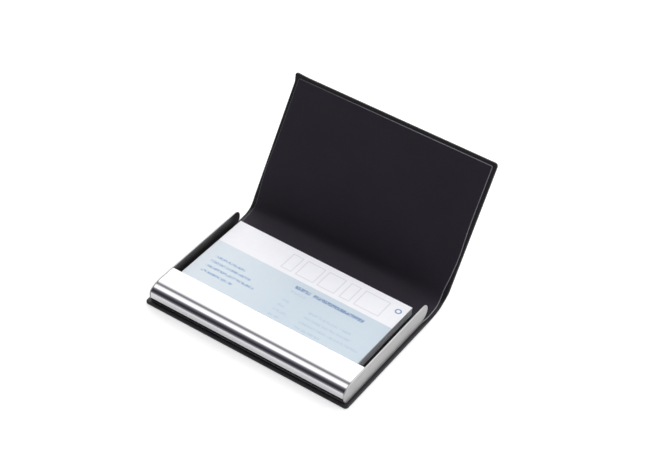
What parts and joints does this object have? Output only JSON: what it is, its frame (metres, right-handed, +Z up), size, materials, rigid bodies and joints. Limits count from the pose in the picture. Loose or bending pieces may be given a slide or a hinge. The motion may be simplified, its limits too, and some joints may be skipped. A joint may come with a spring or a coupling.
{
  "type": "business card case",
  "caption": "Flip-open business card case: polished steel tray with satin end caps on a leather-covered base, flexible spine and magnetic leather lid, holding cards.",
  "frame": {"origin": "centre of the base's flat underside, on the surface it stands on", "axes": "+X along the case's long edge, +Y from the tray's nose towards the spine and lid, +Z up"},
  "size_m": [0.0968, 0.1036, 0.0554],
  "materials": {
    "leather": "fine-grained black imitation leather, semi-matt",
    "lining": "smooth black lining sheet, semi-matt",
    "board": "grey bookbinding board",
    "filler": "thin levelling card",
    "polished_steel": "mirror-polished steel sheet",
    "satin_cap": "satin side plates with a bright rim",
    "liner": "thin black flock liner",
    "tape": "double-sided adhesive sheet",
    "magnet": "nickel-plated disc magnet",
    "card_stock": "white uncoated card",
    "card_print": "white card with a pale blue band and plain bars"
  },
  "bodies": {
    "case": {"base_cover": "leather", "base_board": "board", "base_filler": "filler", "base_lining": "lining", "tray_tape": "tape", "tray_shell": "polished_steel", "tray_liner": "liner", "cap_left": "satin_cap", "cap_right": "satin_cap"},
    "spine": {"spine_cover": "leather", "spine_lining": "lining"},
    "lid": {"lid_cover": "leather", "lid_board": "board", "lid_filler": "filler", "lid_lining": "lining", "magnet_left": "magnet", "magnet_right": "magnet"},
    "cards": {"card_stack": "card_stock", "top_card": "card_print"}
  },
  "joints": [
    {"name": "spine_fold", "type": "hinge", "parent": "case", "child": "spine", "pos_m": [0, 0.03102, 0.00035], "axis": [1, 0, 0], "range_deg": [-5, 85]},
    {"name": "lid_fold", "type": "hinge", "parent": "spine", "child": "lid", "pos_m": [0, 0.04203, 0.00131], "axis": [1, 0, 0], "range_deg": [-55.5, 34.5]},
    {"name": "card_slide", "type": "slide", "parent": "case", "child": "cards", "axis": [0, 1, 0], "range_m": [0, 0.0036]}
  ]
}
